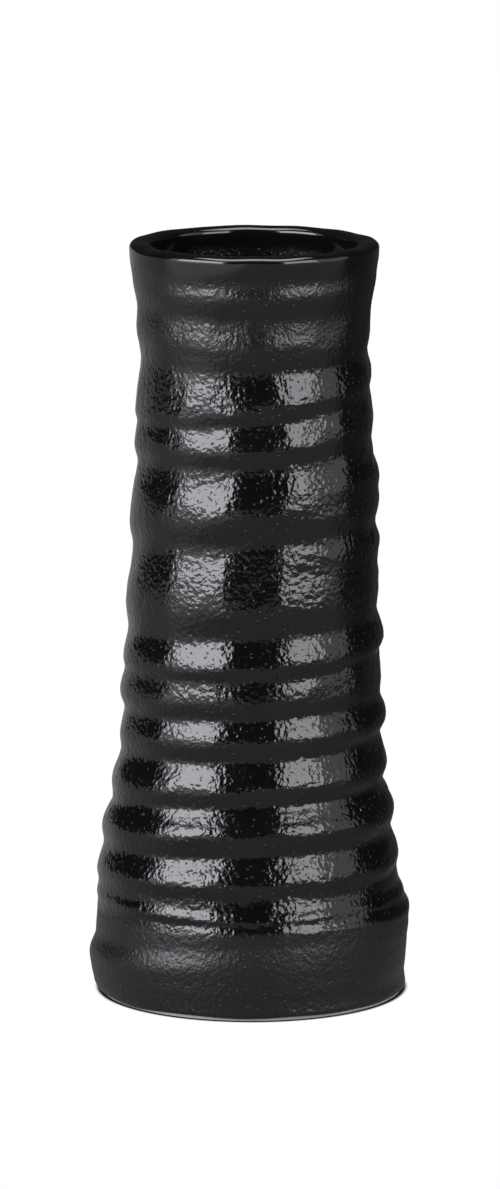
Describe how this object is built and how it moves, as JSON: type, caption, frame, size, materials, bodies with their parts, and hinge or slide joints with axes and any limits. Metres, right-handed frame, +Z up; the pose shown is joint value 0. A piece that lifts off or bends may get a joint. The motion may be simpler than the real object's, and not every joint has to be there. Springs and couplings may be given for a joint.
{
  "type": "stoneware vase",
  "caption": "Tall tapering stoneware vase with spiral throwing rings, a rolled lip, a plain foot band and a black glaze; stands on its foot and holds stems.",
  "frame": {"origin": "centre of the foot ring, on the surface that the vase stands on", "axes": "+Z up along the vase's axis; -Y is the front, where the throwing rings rise from left to right; +X is to the viewer's right"},
  "size_m": [0.1282, 0.127, 0.302],
  "materials": {
    "bare_clay": "unglazed fired stoneware, turned and sponged",
    "clay_body": "fired stoneware under the glaze",
    "black_glaze": "glossy black glaze with pinholes",
    "liner_glaze": "glossy black liner glaze"
  },
  "bodies": {
    "root": {"foot_ring": "bare_clay", "floor_disc": "bare_clay", "base_band": "clay_body", "lower_wall": "clay_body", "upper_wall": "clay_body", "lip_roll": "clay_body", "outer_glaze": "black_glaze", "inner_glaze": "liner_glaze"}
  },
  "joints": []
}
